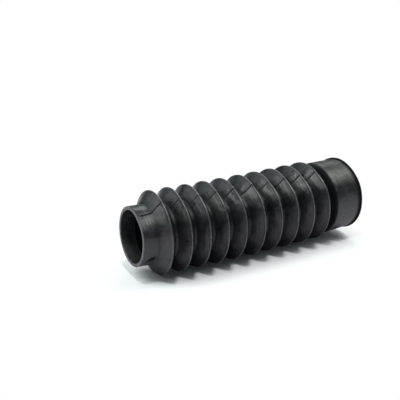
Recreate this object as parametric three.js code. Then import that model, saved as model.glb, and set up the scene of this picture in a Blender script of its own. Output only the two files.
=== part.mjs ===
// Fork gaiter: a one-piece moulded rubber bellows with a plain cuff at each end.
//
// It lies on its side, as a loose gaiter does. The small cuff points to -X and the wide one to +X.
// Millimetres, +Z up. The origin is on the floor, under the middle of the bellows.

import * as THREE from "three";

// Folds
const FOLD_COUNT = 10;
const FOLD_PITCH = 13.55;
const CREST_DIAMETER = 56;
const VALLEY_DIAMETER = 38.8;
const FOLD_WALL = 1.6;
const CREST_ROUND = 0.9;
const VALLEY_ROUND = 1.2;
const INNER_CREST_WIDTH = 0.8;

// Small cuff, which grips the chromed tube
const SMALL_BORE = 35;
const SMALL_CUFF_WALL = 2.3;
const SMALL_CUFF_LENGTH = 9.6;

// Wide cuff, which slips over the top of the lower leg
const LARGE_BORE = 46.6;
const LARGE_CUFF_WALL_AT_SHOULDER = 2.6;
const LARGE_CUFF_WALL_AT_LIP = 1.9;
const LARGE_CUFF_LENGTH = 20.8;
const SHOULDER_LEAN = THREE.MathUtils.degToRad(18);
const SHOULDER_ROUND = 1.2;
const LIP_HEIGHT = 0.9;
const LIP_THICKNESS = 1.3;

// Edges and the patch that its weight presses flat
const RIM_CHAMFER = 0.4;
const LIP_CHAMFER = 0.3;
const FLAT_SPOT = 0.2;
const SEGMENTS = 40;

const RUBBER = { name: "black rubber", color: 0x232426, roughness: 0.55, metalness: 0 };

const point = (x, radius) => ({ x, radius });

// A point at a distance and an angle from a centre. The angle is counted from +X towards the outside.
function polar(centre, distance, angle) {
  return point(centre.x + distance * Math.cos(angle), centre.radius + distance * Math.sin(angle));
}

const crestRadius = CREST_DIAMETER / 2;
const crestCentreRadius = crestRadius - CREST_ROUND;
const valleyCentreRadius = VALLEY_DIAMETER / 2 + VALLEY_ROUND;
const innerValleyRound = VALLEY_ROUND + FOLD_WALL;

// The flank is the straight line that touches the crest's arc and the valley's arc. Its angle is how
// far it leans from square to the axis.
function flankLean() {
  const run = FOLD_PITCH / 2;
  const rise = crestCentreRadius - valleyCentreRadius;
  const reach = Math.hypot(run, rise);
  return Math.acos((CREST_ROUND + VALLEY_ROUND) / reach) - Math.atan2(rise, run);
}

const lean = flankLean();

// How far along the axis a leaning line runs, from the arc that it leaves to a centre that it touches.
function runAlongAxis(rounds, rise, angle) {
  return (rounds + rise * Math.sin(angle)) / Math.cos(angle);
}

const smallCuffRadius = SMALL_BORE / 2 + SMALL_CUFF_WALL;
const smallRoot = point(SMALL_CUFF_LENGTH, smallCuffRadius + VALLEY_ROUND);
const firstCrest = smallRoot.x
  + runAlongAxis(CREST_ROUND + VALLEY_ROUND, crestCentreRadius - smallRoot.radius, lean);
const crestAt = (fold) => point(firstCrest + fold * FOLD_PITCH, crestCentreRadius);
const valleyAt = (fold) => point(firstCrest + (fold + 0.5) * FOLD_PITCH, valleyCentreRadius);

const lastValley = valleyAt(FOLD_COUNT - 1);
const shoulderRadius = LARGE_BORE / 2 + LARGE_CUFF_WALL_AT_SHOULDER;
const shoulderCentreRadius = shoulderRadius - SHOULDER_ROUND;
const shoulder = point(
  lastValley.x + runAlongAxis(
    SHOULDER_ROUND + VALLEY_ROUND, shoulderCentreRadius - valleyCentreRadius, SHOULDER_LEAN),
  shoulderCentreRadius,
);
const totalLength = shoulder.x + LARGE_CUFF_LENGTH;

// Where an inner flank of a fold meets a given radius, counted from the middle of its crest.
function innerFlankRun(radius) {
  return runAlongAxis(CREST_ROUND - FOLD_WALL, crestCentreRadius - radius, lean);
}

// The outer outline, from the small rim to the lip.
function outerOutline() {
  const line = [
    point(0, smallCuffRadius - RIM_CHAMFER),
    point(RIM_CHAMFER, smallCuffRadius),
    polar(smallRoot, VALLEY_ROUND, -Math.PI / 2),
    polar(smallRoot, VALLEY_ROUND, -lean),
  ];
  for (let fold = 0; fold < FOLD_COUNT; fold += 1) {
    const crest = crestAt(fold);
    const valley = valleyAt(fold);
    const isLast = fold === FOLD_COUNT - 1;
    line.push(polar(crest, CREST_ROUND, Math.PI - lean));
    line.push(polar(crest, CREST_ROUND, Math.PI / 2));
    line.push(polar(crest, CREST_ROUND, lean));
    line.push(polar(valley, VALLEY_ROUND, Math.PI + lean));
    if (isLast) {
      line.push(polar(valley, VALLEY_ROUND, -Math.PI / 2));
    }
    line.push(polar(valley, VALLEY_ROUND, isLast ? -SHOULDER_LEAN : -lean));
  }
  return line.concat(largeCuffOutline());
}

// The shoulder, the tapered outside of the wide cuff and the lip that stands out at its end.
function largeCuffOutline() {
  const taperEnd = LARGE_BORE / 2 + LARGE_CUFF_WALL_AT_LIP;
  const lipRadius = taperEnd + LIP_HEIGHT;
  const lipStart = totalLength - LIP_THICKNESS;
  return [
    polar(shoulder, SHOULDER_ROUND, Math.PI - SHOULDER_LEAN),
    polar(shoulder, SHOULDER_ROUND, (Math.PI * 3) / 4),
    polar(shoulder, SHOULDER_ROUND, Math.PI / 2),
    point(lipStart - LIP_CHAMFER, taperEnd),
    point(lipStart, lipRadius - LIP_CHAMFER),
    point(lipStart + LIP_CHAMFER, lipRadius),
    point(totalLength - LIP_CHAMFER, lipRadius),
    point(totalLength, lipRadius - LIP_CHAMFER),
  ];
}

// The inner outline, from the wide end back to the small rim.
function innerOutline() {
  const largeBoreRadius = LARGE_BORE / 2;
  const smallBoreRadius = SMALL_BORE / 2;
  const shoulderRun = runAlongAxis(
    innerValleyRound, largeBoreRadius - valleyCentreRadius, SHOULDER_LEAN);
  const rootRadius = crestCentreRadius
    - (INNER_CREST_WIDTH / 2 * Math.cos(lean) + FOLD_WALL - CREST_ROUND) / Math.sin(lean);
  const line = [
    point(totalLength, largeBoreRadius + LIP_CHAMFER),
    point(totalLength - LIP_CHAMFER, largeBoreRadius),
    point(lastValley.x + shoulderRun, largeBoreRadius),
    polar(lastValley, innerValleyRound, -SHOULDER_LEAN),
    polar(lastValley, innerValleyRound, -Math.PI / 2),
    polar(lastValley, innerValleyRound, Math.PI + lean),
  ];
  for (let fold = FOLD_COUNT - 1; fold >= 0; fold -= 1) {
    const crest = crestAt(fold);
    line.push(point(crest.x + INNER_CREST_WIDTH / 2, rootRadius));
    line.push(point(crest.x - INNER_CREST_WIDTH / 2, rootRadius));
    if (fold > 0) {
      const valley = valleyAt(fold - 1);
      line.push(polar(valley, innerValleyRound, -lean));
      line.push(polar(valley, innerValleyRound, Math.PI + lean));
    }
  }
  line.push(point(firstCrest - innerFlankRun(smallBoreRadius), smallBoreRadius));
  line.push(point(RIM_CHAMFER, smallBoreRadius));
  line.push(point(0, smallBoreRadius + RIM_CHAMFER));
  return line;
}

// Turns the closed section about its axis and lays it along X. A facet, not an edge, is at the bottom.
function turnSection(outline) {
  const section = outline.map((p) => new THREE.Vector2(p.radius, p.x));
  section.push(section[0].clone());
  const halfStep = Math.PI / SEGMENTS;
  const geometry = new THREE.LatheGeometry(section, SEGMENTS, halfStep);
  geometry.rotateZ(-Math.PI / 2);
  return geometry;
}

// Each crest that touches the floor is pressed flat there.
function pressFlat(geometry, floorLevel) {
  const positions = geometry.attributes.position;
  for (let i = 0; i < positions.count; i += 1) {
    if (positions.getZ(i) < floorLevel) {
      positions.setZ(i, floorLevel);
    }
  }
  geometry.computeVertexNormals();
}

function buildGaiter() {
  const geometry = turnSection(outerOutline().concat(innerOutline()));
  const axisHeight = crestRadius - FLAT_SPOT;
  pressFlat(geometry, -axisHeight);
  geometry.translate(-totalLength / 2, 0, axisHeight);
  const gaiter = new THREE.Mesh(geometry, new THREE.MeshStandardMaterial(RUBBER));
  gaiter.name = "gaiter";
  return gaiter;
}

const model = new THREE.Group();
model.add(buildGaiter());

export default model;
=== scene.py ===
# %% [markdown]
# A fork gaiter is a rubber bellows that keeps dirt off the sliding tube of a motorcycle fork. It is
# moulded in one piece: a narrow cuff that grips the tube, ten sharp folds, and a wide cuff that slips
# over the lower leg. This lesson dresses the plain solid of the frame as that piece of black rubber,
# and sets it on a white studio floor.

# %% Load the frame
import math

import bpy
import numpy as np
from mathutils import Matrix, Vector, noise


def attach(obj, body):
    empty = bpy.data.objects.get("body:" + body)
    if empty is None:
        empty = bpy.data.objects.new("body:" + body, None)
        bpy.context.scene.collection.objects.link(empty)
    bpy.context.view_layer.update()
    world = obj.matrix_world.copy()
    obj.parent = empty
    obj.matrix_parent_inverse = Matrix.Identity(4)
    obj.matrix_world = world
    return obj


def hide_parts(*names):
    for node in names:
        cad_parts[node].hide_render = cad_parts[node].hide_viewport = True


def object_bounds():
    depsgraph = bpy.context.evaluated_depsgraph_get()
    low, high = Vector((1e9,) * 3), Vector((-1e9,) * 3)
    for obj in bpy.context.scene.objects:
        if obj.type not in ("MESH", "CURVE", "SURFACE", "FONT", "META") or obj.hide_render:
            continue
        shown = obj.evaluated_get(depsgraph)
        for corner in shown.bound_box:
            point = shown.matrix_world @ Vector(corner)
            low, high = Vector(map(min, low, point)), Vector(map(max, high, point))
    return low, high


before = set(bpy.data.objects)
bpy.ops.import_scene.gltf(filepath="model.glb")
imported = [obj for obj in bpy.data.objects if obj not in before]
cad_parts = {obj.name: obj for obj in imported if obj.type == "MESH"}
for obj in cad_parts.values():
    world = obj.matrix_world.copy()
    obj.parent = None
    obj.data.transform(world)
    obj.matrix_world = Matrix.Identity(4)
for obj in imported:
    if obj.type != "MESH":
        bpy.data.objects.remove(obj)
cad_low, cad_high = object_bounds()
print("solid box in mm:", [round(1000 * side, 2) for side in cad_high - cad_low])

# %% [markdown]
# The sizes are those of the solid, in millimetres, so that the dressed piece fills the same space.
# What the solid leaves out is set here too: the narrow land and the low bead that the mould leaves on
# each crest.

# %% Sizes of the gaiter
MM = 0.001
LENGTH = (cad_high.x - cad_low.x) / MM
FOLDS = 10
PITCH = 13.55
CREST_RADIUS = 28.0
VALLEY_RADIUS = 19.4
FOLD_WALL = 1.6
FIRST_CREST = 16.11
SMALL_BORE_RADIUS = 17.5
SMALL_CUFF_RADIUS = 19.8
SMALL_CUFF_LENGTH = 9.9
LARGE_BORE_RADIUS = 23.3
LARGE_CUFF_RADIUS = 25.2
SHOULDER_RADIUS = 25.9
SHOULDER_BACK = 21.9
SHOULDER_PLACE = LENGTH - SHOULDER_BACK
LIP_RADIUS = 26.1
LIP_THICKNESS = 1.3
CREST_LAND = 0.65
BEAD_HEIGHT = 1.0
BEAD_WIDTH = 0.75
VALLEY_LAND = 1.9
FLAT_SPOT = 0.2
AXIS_HEIGHT = CREST_RADIUS - FLAT_SPOT
print("length in mm:", round(LENGTH, 2), "height of the axis:", round(AXIS_HEIGHT, 2))

# %% [markdown]
# The section is a closed line, turned about the axis. The easiest way to draw it is by its sharp
# corners, each with the radius that rounds it off, and to let a helper put in the arcs. A corner is
# (distance along the axis, radius from the axis, rounding, steps on the arc).

# %% Round one corner
def unit(arrow):
    return arrow / np.linalg.norm(arrow)


def corner_arc(before, corner, after, rounding, steps):
    """Points of the arc that touches both lines at a corner."""
    back = unit(before - corner)
    ahead = unit(after - corner)
    half_angle = math.acos(np.clip(back @ ahead, -1, 1)) / 2
    cut = rounding / math.tan(half_angle)
    centre = corner + unit(back + ahead) * rounding / math.sin(half_angle)
    start = corner + back * cut - centre
    end = corner + ahead * cut - centre
    sweep = math.acos(np.clip(start @ end / rounding ** 2, -1, 1))
    points = []
    for k in range(steps + 1):
        share = k / steps
        arm = start * math.sin((1 - share) * sweep) + end * math.sin(share * sweep)
        points.append(centre + arm / math.sin(sweep))
    return points


# %% [markdown]
# Between the arcs the line is straight. It is cut into steps all the same, because the rubber's
# unevenness needs points to move. The narrow cuff has a slit and a pinch, so its steps are finer.

# %% Join the arcs into a closed line
FINE_STEP = 1.4
PLAIN_STEP = 3.0


def longest_step(place):
    return FINE_STEP if place[0] < SMALL_CUFF_LENGTH else PLAIN_STEP


def rounded(corners):
    """Points of the closed line through the corners, with arcs, and no straight step too long."""
    places = [np.array(corner[:2], float) for corner in corners]
    line = []
    for i, (_, _, rounding, steps) in enumerate(corners):
        after = places[(i + 1) % len(places)]
        line += corner_arc(places[i - 1], places[i], after, rounding, steps)
    fine = []
    for first, second in zip(line, line[1:] + line[:1]):
        count = max(1, math.ceil(np.linalg.norm(second - first) / longest_step(first)))
        fine += [first + (second - first) * k / count for k in range(count)]
    return np.array(fine)


# %% [markdown]
# The folds of a soft piece never settle evenly. Here the fifth valley stands a little open and the
# other folds are closed up by as much, so the ends stay where the solid has them.

# %% Place the folds
OPEN_VALLEY = 5
OPEN_BY = 1.1


def crest_place(fold):
    """Distance of a crest from the narrow rim. Folds are counted from 0."""
    closed_up = OPEN_BY * fold / (FOLDS - 1)
    opened = OPEN_BY if fold >= OPEN_VALLEY else 0
    return FIRST_CREST + PITCH * fold - closed_up + opened


def valley_after(fold):
    """Distance of the valley that follows a crest. The last one leads to the wide cuff."""
    if fold == FOLDS - 1:
        return crest_place(fold) + PITCH / 2
    return (crest_place(fold) + crest_place(fold + 1)) / 2


LAST_VALLEY = valley_after(FOLDS - 1)
print("crests in mm from the narrow rim:", [round(crest_place(fold), 1) for fold in range(FOLDS)])

# %% [markdown]
# From outside, the section starts at the narrow rim, goes over the folds and ends at the lip of the
# wide cuff. The mould's edges are sharp on the crests, soft in the valleys and softest where the wide
# cuff begins, so each kind of corner has its own rounding.

# %% Outside of the section
RIM_BORE_ROUND = 0.35
RIM_ROUND = 0.45
CUFF_FOOT_ROUND = 1.0
BEAD_ROUND = 0.25
CREST_ROUND = 0.24
VALLEY_ROUND = 0.9
SHOULDER_ROUND = 1.1
LIP_FOOT_ROUND = 0.3
LIP_BACK_ROUND = 0.35
LIP_END_ROUND = 0.4


def outer_corners():
    corners = [
        (0, SMALL_BORE_RADIUS, RIM_BORE_ROUND, 3),
        (0, SMALL_CUFF_RADIUS, RIM_ROUND, 4),
        (SMALL_CUFF_LENGTH, SMALL_CUFF_RADIUS, CUFF_FOOT_ROUND, 4),
    ]
    bead_foot = CREST_RADIUS - BEAD_HEIGHT
    for fold in range(FOLDS):
        crest = crest_place(fold)
        valley = valley_after(fold)
        corners += [
            (crest - BEAD_WIDTH, bead_foot, BEAD_ROUND, 2),
            (crest - CREST_LAND / 2, CREST_RADIUS, CREST_ROUND, 3),
            (crest + CREST_LAND / 2, CREST_RADIUS, CREST_ROUND, 3),
            (crest + BEAD_WIDTH, bead_foot, BEAD_ROUND, 2),
            (valley - VALLEY_LAND / 2, VALLEY_RADIUS, VALLEY_ROUND, 3),
            (valley + VALLEY_LAND / 2, VALLEY_RADIUS, VALLEY_ROUND, 3),
        ]
    return corners + [
        (SHOULDER_PLACE, SHOULDER_RADIUS, SHOULDER_ROUND, 5),
        (LENGTH - LIP_THICKNESS, LARGE_CUFF_RADIUS, LIP_FOOT_ROUND, 3),
        (LENGTH - LIP_THICKNESS, LIP_RADIUS, LIP_BACK_ROUND, 3),
        (LENGTH, LIP_RADIUS, LIP_END_ROUND, 3),
    ]


# %% [markdown]
# Inside, the line goes back from the wide end to the narrow one. It follows the folds at the thickness
# of the wall. The hollow of each fold is narrow and blunt, and the ridge under each valley is broad.

# %% Inside of the section
MOUTH_ROUND = 0.4
BORE_END_ROUND = 0.8
LARGE_BORE_END = SHOULDER_PLACE + 1.2
SMALL_BORE_END = SMALL_CUFF_LENGTH + 0.3
RIDGE_RADIUS = VALLEY_RADIUS - FOLD_WALL
RIDGE_HALF = 1.8
RIDGE_ROUND = 1.2
HOLLOW_RADIUS = CREST_RADIUS - 2.4
HOLLOW_HALF = 0.5
HOLLOW_ROUND = 0.3


def inner_corners():
    corners = [
        (LENGTH, LARGE_BORE_RADIUS, MOUTH_ROUND, 3),
        (LARGE_BORE_END, LARGE_BORE_RADIUS, BORE_END_ROUND, 2),
    ]
    for fold in reversed(range(FOLDS)):
        valley = valley_after(fold)
        crest = crest_place(fold)
        corners += [
            (valley + RIDGE_HALF, RIDGE_RADIUS, RIDGE_ROUND, 2),
            (valley - RIDGE_HALF, RIDGE_RADIUS, RIDGE_ROUND, 2),
            (crest + HOLLOW_HALF, HOLLOW_RADIUS, HOLLOW_ROUND, 1),
            (crest - HOLLOW_HALF, HOLLOW_RADIUS, HOLLOW_ROUND, 1),
        ]
    return corners + [(SMALL_BORE_END, SMALL_BORE_RADIUS, BORE_END_ROUND, 2)]


# %% [markdown]
# With both halves the section is whole. Marks such as the seam stand in or out at right angles to it,
# so each point also gets the direction that is square to the line. The marks belong on the outside
# only. It ends at the outer edge of the lip, which is the point farthest along the gaiter and, of
# those on the end face, the farthest out.

# %% Draw the section
RIM_POINTS_ON_BORE = 2
END_FACE_FIRST = 100

section = rounded(outer_corners() + inner_corners())
section_along = section[:, 0][:, None]
section_radius = section[:, 1][:, None]

line_ahead = np.roll(section, -1, 0) - np.roll(section, 1, 0)
square_to_line = np.stack([-line_ahead[:, 1], line_ahead[:, 0]], 1)
square_to_line /= np.linalg.norm(square_to_line, axis=1)[:, None]

lip_end = int(np.argmax(section[:, 0] * END_FACE_FIRST + section[:, 1]))
outside = (np.arange(len(section)) <= lip_end)[:, None]
outside[:RIM_POINTS_ON_BORE] = False
print("section points:", len(section), "outside:", int(outside.sum()))

# %% [markdown]
# The mould closes on two lines along the gaiter, and each leaves a fine seam that looks like a cut.
# The turned shape gets narrow steps beside these lines, and beside the pinch in the narrow cuff, so
# that both are real geometry. Elsewhere the steps are wider. Angle 0 is up.

# %% Directions round the axis
BASE_STEPS = 168
SEAM_ANGLE = math.radians(23)
SEAM_ANGLES = (SEAM_ANGLE, SEAM_ANGLE + math.pi)
SEAM_STEP = math.radians(0.4)
SEAM_STEPS = np.arange(-9, 6) * SEAM_STEP
SEAM_CLEAR = math.radians(4.4)
PINCH_ANGLE = math.radians(117)
PINCH_STEP = math.radians(0.9)
PINCH_STEPS = np.arange(-8, 9) * PINCH_STEP
PINCH_CLEAR = math.radians(7.9)


def wrapped(angle):
    """The same angle, between minus and plus half a turn."""
    return (angle + math.pi) % (2 * math.pi) - math.pi


wide_steps = np.arange(BASE_STEPS) * 2 * math.pi / BASE_STEPS
for seam in SEAM_ANGLES:
    wide_steps = wide_steps[np.abs(wrapped(wide_steps - seam)) > SEAM_CLEAR]
wide_steps = wide_steps[np.abs(wrapped(wide_steps - PINCH_ANGLE)) > PINCH_CLEAR]
narrow_steps = [seam + SEAM_STEPS for seam in SEAM_ANGLES] + [PINCH_ANGLE + PINCH_STEPS]
turn = np.sort(np.concatenate([wide_steps] + narrow_steps) % (2 * math.pi))[None, :]
print("directions:", turn.size, "quads:", turn.size * len(section))

# %% [markdown]
# A real moulding is not quite round. Beside the seam each fold is pulled a little flat, and a soft
# corner stands out about 40 degrees further down. Both are plain humps of an angle, which is enough
# for a shape that is only felt in the run of the crests.

# %% Out of round
FLAT_AT_SEAM = 0.55
FLAT_BELOW_SEAM = math.radians(5)
FLAT_SPREAD = math.radians(16)
CORNER_OUT = 0.6
CORNER_BELOW_SEAM = math.radians(40)
CORNER_SPREAD = math.radians(17)
OUT_OF_ROUND_ALONG = [0, SMALL_CUFF_LENGTH, FIRST_CREST, 30, 60, 138, 148, LENGTH]
OUT_OF_ROUND_SHARE = [1.5, 0.7, 0.4, 0.8, 1.0, 1.0, 0.35, 0.3]
SHARE_IN_VALLEY = 0.6


def hump(distance, width):
    return np.exp(-(distance / width) ** 2)


def out_of_round(angle, radius, along):
    """How far the whole wall stands out from round."""
    flat = hump(wrapped(angle - SEAM_ANGLE - FLAT_BELOW_SEAM), FLAT_SPREAD)
    corner = hump(wrapped(angle - SEAM_ANGLE - CORNER_BELOW_SEAM), CORNER_SPREAD)
    in_fold = np.clip((radius - SMALL_CUFF_RADIUS) / (CREST_RADIUS - SMALL_CUFF_RADIUS), 0, 1)
    share = SHARE_IN_VALLEY + (1 - SHARE_IN_VALLEY) * in_fold
    share = share * np.interp(along, OUT_OF_ROUND_ALONG, OUT_OF_ROUND_SHARE)
    return (CORNER_OUT * corner - FLAT_AT_SEAM * flat) * share


# %% [markdown]
# The seam is a shallow groove on the folds, deeper on some than on others. On the narrow cuff it is a
# real slit, which stops short of the rim. The wide cuff has none. So its depth is put together from
# shares along the gaiter.

# %% Depth of the seam
GROOVE_DEPTH = 0.30
GROOVE_WIDTH = 0.19
GROOVE_SHARES = [1.0, 0.75, 0.5, 0.8, 1.0, 1.0, 0.6, 0.7, 0.9, 0.8]
GROOVE_ENDS = SHOULDER_PLACE - PITCH / 3
GROOVE_FADES = 4
GROOVE_ENDS_ABOVE_VALLEY = 0.9
SLIT_DEPTH = 0.75
SLIT_FROM_RIM = 2.2
SLIT_STARTS_OVER = 0.6
SLIT_ENDS = SMALL_CUFF_LENGTH + 2

SLIT_RUN = [SLIT_FROM_RIM - SLIT_STARTS_OVER, SLIT_FROM_RIM, SMALL_CUFF_LENGTH, SLIT_ENDS]
GROOVE_RUN = [SMALL_CUFF_LENGTH, SLIT_ENDS, GROOVE_ENDS - GROOVE_FADES, GROOVE_ENDS]


def seam_depth(radius, along):
    slit = np.interp(along, SLIT_RUN, [0, 1, 1, 0])
    groove = np.interp(along, GROOVE_RUN, [0, 1, 1, 0])
    fold_share = np.interp(along, [crest_place(fold) for fold in range(FOLDS)], GROOVE_SHARES)
    above_valley = np.clip((radius - VALLEY_RADIUS) / GROOVE_ENDS_ABOVE_VALLEY, 0, 1)
    return SLIT_DEPTH * slit + GROOVE_DEPTH * fold_share * groove * above_valley


# %% [markdown]
# The two halves of a mould never line up exactly. They leave a small step across the seam, and a fine
# ridge above it. Near the rim the slit also twists away a little, which turns the whole cuff.

# %% Groove, ridge and step of the seam
RIDGE_HEIGHT = 0.13
RIDGE_ABOVE = 0.85
RIDGE_WIDTH = 0.34
STEP_AT_SEAM = 0.15
STEP_FADES = math.radians(9)
TWIST_AT_RIM = math.radians(6)
TWIST_LENGTH = 16.0


def seam_grooves(angle, radius, along):
    """Depth of both seams at a point."""
    across = [wrapped(angle - seam) * radius for seam in SEAM_ANGLES]
    return sum(seam_depth(radius, along) * hump(distance, GROOVE_WIDTH) for distance in across)


def seam_sides(angle, radius, along):
    """The ridge above each seam and the step across it."""
    share = np.minimum(seam_depth(radius, along) / GROOVE_DEPTH, 1)
    total = 0
    for seam in SEAM_ANGLES:
        off = wrapped(angle - seam)
        ridge = RIDGE_HEIGHT * hump(off * radius + RIDGE_ABOVE, RIDGE_WIDTH)
        side = np.where(off > 0, -np.exp(-off / STEP_FADES), np.exp(off / STEP_FADES))
        total = total + share * (STEP_AT_SEAM * side + ridge)
    return total


def twisted(along):
    """How far the seam has turned away from its line."""
    return TWIST_AT_RIM * hump(along, TWIST_LENGTH)


# %% [markdown]
# In the foot of the narrow cuff sits a short pinch, where the soft wall has creased. It is a small
# hollow with a slight slant. A shallow, wide one shows its floor to the camera, and a deep, narrow one
# would hide it behind its own edge.

# %% Pinch in the narrow cuff
PINCH_DEPTH = 1.1
PINCH_ALONG = 6.8
PINCH_LENGTH = 2.6
PINCH_WIDTH = 1.2
PINCH_SLANT = math.radians(-1.2)


def pinch(angle, radius, along):
    """Depth of the pinch at a point."""
    line = PINCH_ANGLE + PINCH_SLANT * (along - PINCH_ALONG)
    across = hump(wrapped(angle - line) * radius, PINCH_WIDTH)
    return PINCH_DEPTH * across * hump(along - PINCH_ALONG, PINCH_LENGTH)


# %% [markdown]
# Lying on the floor, the rubber is slightly bowed, and it is pressed flat where the crests touch. A
# shallow unevenness from the noise module keeps the sheen from looking machined.

# %% Unevenness and bow
UNEVEN = 0.09
UNEVEN_SIZE = 11.0
BOW_UP = 0.92
BOW_BACK = 1.42


def unevenness(angle, radius, along):
    angle, radius, along = np.broadcast_arrays(angle, radius, along)
    places = np.stack([along, radius * np.sin(angle), radius * np.cos(angle)], -1).reshape(-1, 3)
    values = [noise.noise(Vector(place / UNEVEN_SIZE)) for place in places]
    return UNEVEN * np.array(values).reshape(along.shape)


def bowed(angle, radius, along):
    """Places in the frame. A quarter turn is towards the camera's side, -Y."""
    half = LENGTH / 2
    slope_up = 2 * BOW_UP * along / half ** 2
    slope_back = 2 * BOW_BACK * along / half ** 2
    up = radius * np.cos(angle)
    front = radius * np.sin(angle)
    x = along - up * slope_up + front * slope_back
    y = BOW_BACK * (along / half) ** 2 - front
    z = AXIS_HEIGHT + BOW_UP * (along / half) ** 2 + up
    return np.stack([x, y, np.maximum(z, 0)], -1).reshape(-1, 3) * MM


# %% [markdown]
# Now the section is turned. Every mark is a distance along the direction square to the section, so
# the walls keep their thickness. A plain grid of quads, closed both ways, is the cleanest mesh for a
# turned piece, and it has no open edges.

# %% Turn the section into a mesh
def gaiter_vertices():
    point = (turn, section_radius, section_along)
    marks = seam_sides(*point) - seam_grooves(*point) - pinch(*point)
    push = np.where(outside, marks, 0) + unevenness(*point)
    along = section_along + push * square_to_line[:, 0][:, None]
    radius = section_radius + out_of_round(*point) + push * square_to_line[:, 1][:, None]
    return bowed(turn + twisted(section_along), radius, along - LENGTH / 2)


def gaiter_faces():
    rows, columns = len(section), turn.size
    row, column = np.meshgrid(np.arange(rows), np.arange(columns), indexing="ij")
    next_row, next_column = (row + 1) % rows, (column + 1) % columns
    corners = [(row, column), (row, next_column), (next_row, next_column), (next_row, column)]
    return np.stack([r * columns + c for r, c in corners], -1).reshape(-1, 4)


gaiter_mesh = bpy.data.meshes.new("gaiter_moulding")
gaiter_mesh.from_pydata(gaiter_vertices().tolist(), [], gaiter_faces().tolist())
gaiter_mesh.shade_smooth()
gaiter = bpy.data.objects.new("gaiter_moulding", gaiter_mesh)
bpy.context.collection.objects.link(gaiter)
print("triangles:", 2 * len(gaiter_mesh.polygons))

# %% [markdown]
# The finish needs to know what part of the gaiter a point is on, and the mesh can tell it by numbers
# kept on the vertices. The first three say how pale a point is painted, whether it is on a cuff and
# whether it is inside. Handling wears the crests and the narrow rim paler. The pale band on the crests
# also stands in for their highlight, and the pale patch beside the slit is a painted glint.

# %% Numbers for wear and painted highlight, cuffs and inside
CREST_BAND = 0.025
RIM_FACE = 0.3
RIM_WEAR = 0.6
GLINT_ALONG = 7.5
GLINT_LENGTH = 3.5
GLINT_ANGLE = math.radians(38)
GLINT_SPREAD = math.radians(8)


def keep_number(name, values):
    """Keeps a number for each vertex. One column of values goes for all the directions."""
    grid = np.broadcast_to(values, (len(section), turn.size))
    attribute = gaiter_mesh.attributes.new(name, "FLOAT", "POINT")
    attribute.data.foreach_set("value", grid.astype(np.float32).ravel())
    print("number on the vertices:", name, "mean", round(float(grid.mean()), 3))


fold_height = np.clip((section_radius - VALLEY_RADIUS) / (CREST_RADIUS - VALLEY_RADIUS), 0, 1)
on_small_cuff = section_along < SMALL_CUFF_LENGTH
on_folds = (section_along > SMALL_CUFF_LENGTH) & (section_along < SHOULDER_PLACE)
# Pale crests: partly wear, partly a painted highlight along each crest.
crest_wear_and_highlight = np.clip(1 - (1 - fold_height) / CREST_BAND, 0, 1)
# Painted glint: a pale patch beside the slit that stands in for a highlight.
glint_round = hump(wrapped(turn + twisted(section_along) - GLINT_ANGLE), GLINT_SPREAD)
painted_glint = hump(section_along - GLINT_ALONG, GLINT_LENGTH) * glint_round * outside
rim_wear_and_painted_glint = np.maximum(RIM_WEAR * (section_along < RIM_FACE), painted_glint * on_small_cuff)
keep_number("crest", np.where(on_folds & outside, crest_wear_and_highlight, rim_wear_and_painted_glint))
keep_number("cuff", 1.0 - on_folds)
keep_number("inside", 1.0 - outside)

# %% [markdown]
# The fourth number is for painted shade: a dull, nearly black skin that stands in for the shade low in
# the folds, in the seam and the pinch, on the shoulder before the wide cuff and on the lip. The painted
# shadow of the pinch sits a little lower than the hollow, on the side that the camera sees.

# %% Number for the painted shade
LIP_SHADE = 0.9
LIP_SHADE_MARGIN = 0.5
SHOULDER_SHADE = 0.75
SHOULDER_STARTS = [LAST_VALLEY - 3, LAST_VALLEY]
SHOULDER_ENDS = [SHOULDER_PLACE - 0.6, SHOULDER_PLACE]
VALLEY_SHADE = 0.5
VALLEY_SHADE_REACH = 0.45
PINCH_SHADE = 1.7
PINCH_SHADE_BELOW = math.radians(1.8)

# Painted shade on the lip and the shoulder, low in the folds, in the seam and in the pinch.
on_lip = outside & (section_along > LENGTH - LIP_THICKNESS - LIP_SHADE_MARGIN)
on_shoulder = np.interp(section_along, SHOULDER_STARTS + SHOULDER_ENDS, [0, 1, 1, 0])
low_in_fold = on_folds * np.clip(1 - fold_height / VALLEY_SHADE_REACH, 0, 1)
in_seam = seam_grooves(turn, section_radius, section_along) / SLIT_DEPTH
in_pinch = pinch(turn - PINCH_SHADE_BELOW, section_radius, section_along) / PINCH_DEPTH
wide_painted_shade = np.maximum(on_lip * LIP_SHADE, on_shoulder * SHOULDER_SHADE)
wide_painted_shade = np.maximum(wide_painted_shade, low_in_fold * VALLEY_SHADE)
painted_shade_share = np.clip(np.maximum(wide_painted_shade, in_seam + in_pinch * PINCH_SHADE), 0, 1)
keep_number("painted_shade", np.where(outside, painted_shade_share, 0))

# %% [markdown]
# Shader maths reads best as plain expressions. This small class wraps a socket, and each operator
# adds the Math node that it stands for. The reflected forms let a plain number come first.

# %% A class for shader expressions
class Wire:
    """One output socket of a node tree. Operators on it add Math nodes."""

    def __init__(self, nodes, socket):
        self.nodes = nodes
        self.socket = socket

    def maths(self, operation, first, second):
        return self.nodes.add("ShaderNodeMath", {"operation": operation}, {0: first, 1: second})

    def __add__(self, other):
        return self.maths("ADD", self, other)

    def __radd__(self, other):
        return self.maths("ADD", other, self)

    def __sub__(self, other):
        return self.maths("SUBTRACT", self, other)

    def __rsub__(self, other):
        return self.maths("SUBTRACT", other, self)

    def __mul__(self, other):
        return self.maths("MULTIPLY", self, other)

    def __rmul__(self, other):
        return self.maths("MULTIPLY", other, self)


# %% [markdown]
# Every other node comes from one method, which sets the node's settings first and then its inputs. A
# few short methods stand for the nodes that come back often. The rubber, the paper of the floor and
# the sky all use them.

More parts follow.
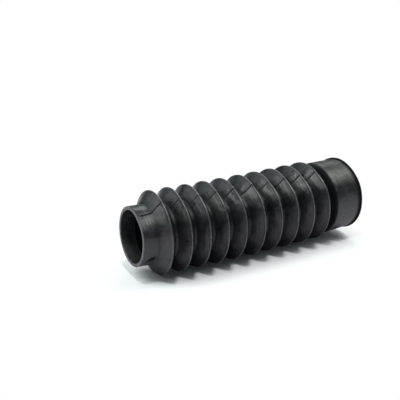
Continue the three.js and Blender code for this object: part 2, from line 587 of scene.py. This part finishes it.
# %% A class that adds nodes
class Nodes:
    """The node tree of a material or of the world."""

    def __init__(self, owner):
        owner.use_nodes = True
        self.tree = owner.node_tree

    def add(self, kind, settings=None, inputs=None, output=0):
        """Adds a node, sets it up, feeds its inputs and gives the output as a Wire."""
        node = self.tree.nodes.new(kind)
        for name, value in (settings or {}).items():
            setattr(node, name, value)
        for name, value in (inputs or {}).items():
            self.feed(node.inputs[name], value)
        return Wire(self, node.outputs[output])

    def feed(self, socket, value):
        if isinstance(value, Wire):
            self.tree.links.new(value.socket, socket)
        else:
            socket.default_value = value

    def vector(self, operation, *values, output=0):
        """Vector maths on one or two vectors."""
        inputs = dict(enumerate(values))
        return self.add("ShaderNodeVectorMath", {"operation": operation}, inputs, output)

    def scaled(self, vector, factor):
        inputs = {0: vector, "Scale": factor}
        return self.add("ShaderNodeVectorMath", {"operation": "SCALE"}, inputs)

    def speckle(self, place, scale, detail=2.0, roughness=0.5):
        """Noise. A larger scale gives finer specks."""
        inputs = {"Vector": place, "Scale": scale, "Detail": detail, "Roughness": roughness}
        return self.add("ShaderNodeTexNoise", inputs=inputs)

    def between(self, value, low, high):
        """0 below low, 1 above high, and smooth in between."""
        settings = {"interpolation_type": "SMOOTHSTEP"}
        inputs = {"Value": value, "From Min": low, "From Max": high}
        return self.add("ShaderNodeMapRange", settings, inputs)

    def blend(self, share, first, second):
        """A colour between two colours."""
        settings = {"data_type": "RGBA"}
        return self.add("ShaderNodeMix", settings, {"Factor": share, 6: first, 7: second}, output=2)


# %% [markdown]
# A material adds two things to that: the Principled shader that it starts with, and a second shader
# that can show through it where a mask says so.

# %% A class for a finish
class Finish(Nodes):
    """A material and its Principled shader."""

    def __init__(self, name):
        self.material = bpy.data.materials.new(name)
        super().__init__(self.material)
        self.shader = self.tree.nodes["Principled BSDF"]

    def dress(self, inputs):
        """Sets constants or links on the Principled shader."""
        for name, value in inputs.items():
            self.feed(self.shader.inputs[name], value)

    def number(self, name):
        """A number that the mesh keeps on its vertices."""
        return self.add("ShaderNodeAttribute", {"attribute_name": name}, output="Fac")

    def show_through(self, share, second):
        """Shows another shader in the place of the Principled one, where share is 1."""
        first = Wire(self, self.shader.outputs[0])
        both = self.add("ShaderNodeMixShader", inputs={0: share, 1: first, 2: second})
        self.feed(self.tree.nodes["Material Output"].inputs["Surface"], both)


# %% [markdown]
# Moulded black rubber is a dark, cool grey with a dull sheen. It is never even: the mould leaves fine
# rings where it was turned, and the rubber flowed outwards over the flanks and left faint streaks.
# These follow the gaiter's own axis, so the finish first works out how far from the axis, how far
# along it and in what direction a point is.

# %% Where a point of the rubber is
rubber = Finish("black_rubber")
place_in_mm = rubber.scaled(rubber.add("ShaderNodeTexCoord", output="Object"), 1 / MM)
from_axis = rubber.vector("SUBTRACT", place_in_mm, (0, 0, AXIS_HEIGHT))
across_axis = rubber.vector("MULTIPLY", from_axis, (0, 1, 1))
direction = rubber.vector("NORMALIZE", across_axis)
distance_out = rubber.vector("LENGTH", across_axis, output="Value")
distance_along = rubber.add("ShaderNodeSeparateXYZ", inputs={0: from_axis}, output="X")

# %% [markdown]
# All the patterns are noise. In plain millimetres it gives clouds, blotches, scuffs and grain. Noise
# of the distances from and along the axis gives rings, and noise of the direction gives streaks.

# %% Patterns in the rubber
RING_SPACING = 0.9
STREAKS_ROUND = 12.0

cloud = rubber.speckle(place_in_mm, 0.04)
swell = rubber.speckle(place_in_mm, 0.12, detail=1.0, roughness=0.4)
blotch = rubber.speckle(place_in_mm, 0.13, detail=3.0, roughness=0.55)
scuffs = rubber.speckle(place_in_mm, 0.5, detail=3.0, roughness=0.55)
grain = rubber.speckle(place_in_mm, 2.0)
flow = rubber.speckle(rubber.scaled(direction, STREAKS_ROUND), 1.0, detail=1.0, roughness=0.4)
ring_place = rubber.add("ShaderNodeCombineXYZ", inputs={
    0: distance_out * (1 / RING_SPACING),
    1: distance_along * (1 / RING_SPACING),
})
rings = rubber.speckle(ring_place, 1.0, detail=1.0, roughness=0.4)
print("nodes for places and patterns:", len(rubber.tree.nodes))

# %% [markdown]
# The colour stays very dark. It wanders between nearly black and two greys, one a little green and one
# a little purple, as carbon-filled rubber does. Worn rubber turns paler, so the crests, the narrow rim
# and a patch beside the slit are mixed towards a light grey, in patches. On the crests this pale grey
# is partly a painted highlight, and the patch beside the slit is a painted glint.

# %% Colour of the rubber
NEARLY_BLACK = (0.0062, 0.0059, 0.0072, 1)
GREENISH = (0.0225, 0.0300, 0.0250, 1)
PURPLISH = (0.0280, 0.0231, 0.0306, 1)
WORN_AND_HIGHLIGHT_GREY = (0.1375, 0.1362, 0.1400, 1)
LEAST_PALE = 0.35
MORE_PALE = 0.5

grey = rubber.blend(rubber.between(cloud, 0.42, 0.58), GREENISH, PURPLISH)
mottle = blotch * 0.35 + scuffs * 0.35 + cloud * 0.2 + grain * 0.1
mottled = rubber.blend(rubber.between(mottle, 0.41, 0.60), NEARLY_BLACK, grey)
# The pale grey is wear, plus a painted highlight on the crests and a painted glint beside the slit.
pale_patches = LEAST_PALE + rubber.between(scuffs, 0.35, 0.62) * MORE_PALE
wear_and_highlight_share = rubber.number("crest") * pale_patches
rubber.dress({"Base Color": rubber.blend(wear_and_highlight_share, mottled, WORN_AND_HIGHLIGHT_GREY)})
print("nodes with the colour:", len(rubber.tree.nodes))

# %% [markdown]
# Most of what shows on black rubber is its sheen, so the roughness and the bump do most of the work.
# The roughness varies with the blotches most of all, and the bump carries the soft swell of the wall,
# the rings and the scuffs. The cuffs are a little rougher and flatter than the folds.

# %% Sheen and relief of the rubber
SMOOTHEST = 0.05
CUFF_ROUGHER = 0.06
INSIDE_ROUGHER = 0.15
SWELL_HEIGHT = 0.60
CUFF_FLATTER = 0.25
RUBBER_IOR = 1.67

cuff = rubber.number("cuff")
sheen_pattern = blotch * 0.34 + scuffs * 0.10 + rings * 0.06 + flow * 0.06
rougher_parts = cuff * CUFF_ROUGHER + rubber.number("inside") * INSIDE_ROUGHER
fine_relief = rings * 0.12 + flow * 0.06 + scuffs * 0.07 + grain * 0.008
relief = swell * (SWELL_HEIGHT - cuff * CUFF_FLATTER) + fine_relief
bump = rubber.add("ShaderNodeBump", inputs={"Strength": 1.0, "Distance": MM, "Height": relief})
roughness = SMOOTHEST + rougher_parts + sheen_pattern
rubber.dress({"Roughness": roughness, "Normal": bump, "IOR": RUBBER_IOR})
print("nodes with the sheen:", len(rubber.tree.nodes))

# %% [markdown]
# The painted shade is a second shader, nearly black and with hardly any reflection. A Mix Shader shows
# it where its number on the vertices says so. Darkening the colour alone wouldn't do, because the sheen
# would stay.

# %% Painted shade
# A nearly black, dull shader that paints shade into the folds, seam, pinch, shoulder and lip.
painted_shade_skin = rubber.add("ShaderNodeBsdfPrincipled", inputs={
    "Base Color": (0.0062, 0.0062, 0.0075, 1),
    "Roughness": 0.75,
    "Specular IOR Level": 0.10,
})
rubber.show_through(rubber.number("painted_shade"), painted_shade_skin)
gaiter_mesh.materials.append(rubber.material)
print("nodes of the rubber:", len(rubber.tree.nodes))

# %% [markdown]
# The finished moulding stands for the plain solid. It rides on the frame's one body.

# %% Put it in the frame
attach(gaiter, "root")
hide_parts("gaiter")
print("in the frame:", gaiter.name)

# %% [markdown]
# The floor is one large sheet of white paper, far larger than the picture. A curved backdrop isn't
# needed, because the sky past the sheet's edge is just as white for the camera.

# %% Floor sheet
FLOOR_REACH = 3.0

floor_mesh = bpy.data.meshes.new("studio_floor")
floor_corners = [(x * FLOOR_REACH, y * FLOOR_REACH, 0) for x, y in [(-1, -1), (1, -1), (1, 1), (-1, 1)]]
floor_mesh.from_pydata(floor_corners, [], [(0, 1, 2, 3)])
floor = bpy.data.objects.new("studio_floor", floor_mesh)
bpy.context.collection.objects.link(floor)
print("floor side in m:", 2 * FLOOR_REACH)

# %% [markdown]
# Lamps strong enough to make all of the paper pure white would wash out the rubber. So the paper's
# colour is higher for the camera's own rays, even above 1, than for the light that it sends back to
# the rubber. The shadow stays, because it takes its share of either.

# %% White paper
PAPER_FOR_RUBBER = (0.87, 0.83, 0.94, 1)
PAPER_FOR_CAMERA = (1.29, 1.305, 1.335, 1)

paper = Finish("white_paper")
seen_by_camera = paper.add("ShaderNodeLightPath", output="Is Camera Ray")
paper_colour = paper.blend(seen_by_camera, PAPER_FOR_RUBBER, PAPER_FOR_CAMERA)
paper.dress({"Base Color": paper_colour, "Roughness": 0.75, "Specular IOR Level": 0.2})
floor_mesh.materials.append(paper.material)
print("paper colour for the camera:", PAPER_FOR_CAMERA[:3])

# %% [markdown]
# Away from the gaiter the paper has to be plain white, as in a cut-out photograph. There it glows for
# the camera alone, at a strength of 1. How far away a point is counts from a box under the gaiter, and
# the glow grows over 70 mm from its edge, so it also paints light into the outer part of the shadow,
# sooner at the ends.

# %% Glow round the gaiter
SHADOW_CENTRE = Vector((-4, 0, 0)) * MM
SHADOW_HALF_BOX = Vector((77, 9, 0)) * MM
SOONER_AT_THE_ENDS = (2.5, 1, 0)
GLOW_FADE = 70 * MM

on_floor = paper.add("ShaderNodeTexCoord", output="Object")
either_side = paper.vector("ABSOLUTE", paper.vector("SUBTRACT", on_floor, SHADOW_CENTRE))
past_box = paper.vector("MAXIMUM", paper.vector("SUBTRACT", either_side, SHADOW_HALF_BOX), (0, 0, 0))
away = paper.vector("LENGTH", paper.vector("MULTIPLY", past_box, SOONER_AT_THE_ENDS), output="Value")
glow = paper.add("ShaderNodeEmission", inputs={"Color": (1, 1, 1, 1), "Strength": 1.0})
paper.show_through(paper.between(away, 0, GLOW_FADE) * seen_by_camera, glow)
print("nodes of the paper:", len(paper.tree.nodes))

# %% [markdown]
# The shadows and the sheen in the photograph tell where its light stood. Two large softboxes stand
# high at the left and right, with a weaker one at the back. A small lamp overhead draws the scalloped
# shadow of the folds. Three weak cards, low at the left and right, put the last sheen on the flanks
# that face them. No large lamp stands on the camera's side, so the flanks there stay dark. Each lamp
# is set by the level to which it alone would light a white sheet that faces it.

# %% Lamps
LAMP_DISTANCE = 1.0


def soft_lamp(name, azimuth, elevation, size, level, colour):
    """A rectangular lamp. Its azimuth is counted from +X, along the gaiter, towards +Y, the back."""
    data = bpy.data.lights.new(name, "AREA")
    data.shape = "RECTANGLE"
    data.size, data.size_y = size
    data.energy = level * (math.pi * LAMP_DISTANCE) ** 2
    data.color = colour
    lamp = bpy.data.objects.new(name, data)
    sideways = math.cos(math.radians(elevation))
    towards = Vector((
        sideways * math.cos(math.radians(azimuth)),
        sideways * math.sin(math.radians(azimuth)),
        math.sin(math.radians(elevation)),
    ))
    lamp.location = towards * LAMP_DISTANCE
    lamp.rotation_mode = "QUATERNION"
    lamp.rotation_quaternion = towards.to_track_quat("Z", "Y")
    bpy.context.collection.objects.link(lamp)
    return level * towards.z


light_on_floor = [
    soft_lamp("left_softbox", 160, 49, (0.52, 0.58), 0.45, (0.95, 1.0, 0.98)),
    soft_lamp("right_softbox", 348, 58, (0.60, 0.46), 0.42, (0.96, 1.0, 0.93)),
    soft_lamp("overhead_lamp", 227, 72, (0.10, 0.10), 0.225, (0.97, 1.0, 1.0)),
    soft_lamp("back_softbox", 55, 39, (0.44, 0.36), 0.17, (0.97, 1.0, 1.0)),
    soft_lamp("back_left_card", 132, 20, (0.60, 0.28), 0.056, (0.95, 1.0, 1.0)),
    soft_lamp("left_card", 174, 27, (0.30, 0.26), 0.048, (0.97, 1.0, 0.95)),
    soft_lamp("low_right_card", 0, 9, (0.50, 0.25), 0.112, (0.88, 0.98, 1.0)),
]
print("lamps:", len(light_on_floor), "light on the floor:", round(sum(light_on_floor), 2))

# %% [markdown]
# A dim, cool sky fills the shadows. With the lamps it lights a level sheet to a little over 1, so a
# colour renders about as it is written. The camera sees the sky as plain white, like the floor.

# %% Sky
SKY_LEVEL = 0.085
SKY_LIGHT = (0.82 * SKY_LEVEL, 0.97 * SKY_LEVEL, SKY_LEVEL, 1)
SKY_FOR_CAMERA = (1, 1, 1, 1)

world = bpy.data.worlds.new("studio_world")
bpy.context.scene.world = world
sky_nodes = Nodes(world)
sky = sky_nodes.tree.nodes["Background"]
sky_seen = sky_nodes.add("ShaderNodeLightPath", output="Is Camera Ray")
sky_nodes.feed(sky.inputs["Color"], sky_nodes.blend(sky_seen, SKY_LIGHT, SKY_FOR_CAMERA))
sky_nodes.feed(sky.inputs["Strength"], 1.0)
print("light on the floor with the sky:", round(sum(light_on_floor) + SKY_LEVEL, 2))

# %% [markdown]
# The camera stands where the photograph's did: a short telephoto, a bit to the left of the middle,
# looking down at about 20 degrees. Its place was found by fitting the outlines of the folds, the rim
# and the lip to the photograph.

# %% Camera
CAMERA_PLACE = Vector((-283.4, -426.0, 226.1)) * MM
CAMERA_AZIMUTH = math.radians(-30.3)
CAMERA_ELEVATION = math.radians(20.155)
CAMERA_LENS = 71.5

camera_data = bpy.data.cameras.new("camera")
camera_data.lens = CAMERA_LENS
camera_data.sensor_width = 36.0
camera_data.clip_start = 0.01
camera = bpy.data.objects.new("camera", camera_data)
look_back = Vector((
    math.sin(CAMERA_AZIMUTH) * math.cos(CAMERA_ELEVATION),
    -math.cos(CAMERA_AZIMUTH) * math.cos(CAMERA_ELEVATION),
    math.sin(CAMERA_ELEVATION),
))
camera.location = CAMERA_PLACE
camera.rotation_mode = "QUATERNION"
camera.rotation_quaternion = look_back.to_track_quat("Z", "Y")
bpy.context.collection.objects.link(camera)
bpy.context.scene.camera = camera
bpy.context.scene.view_settings.view_transform = "Standard"
print("camera in mm from the origin:", round(CAMERA_PLACE.length / MM))
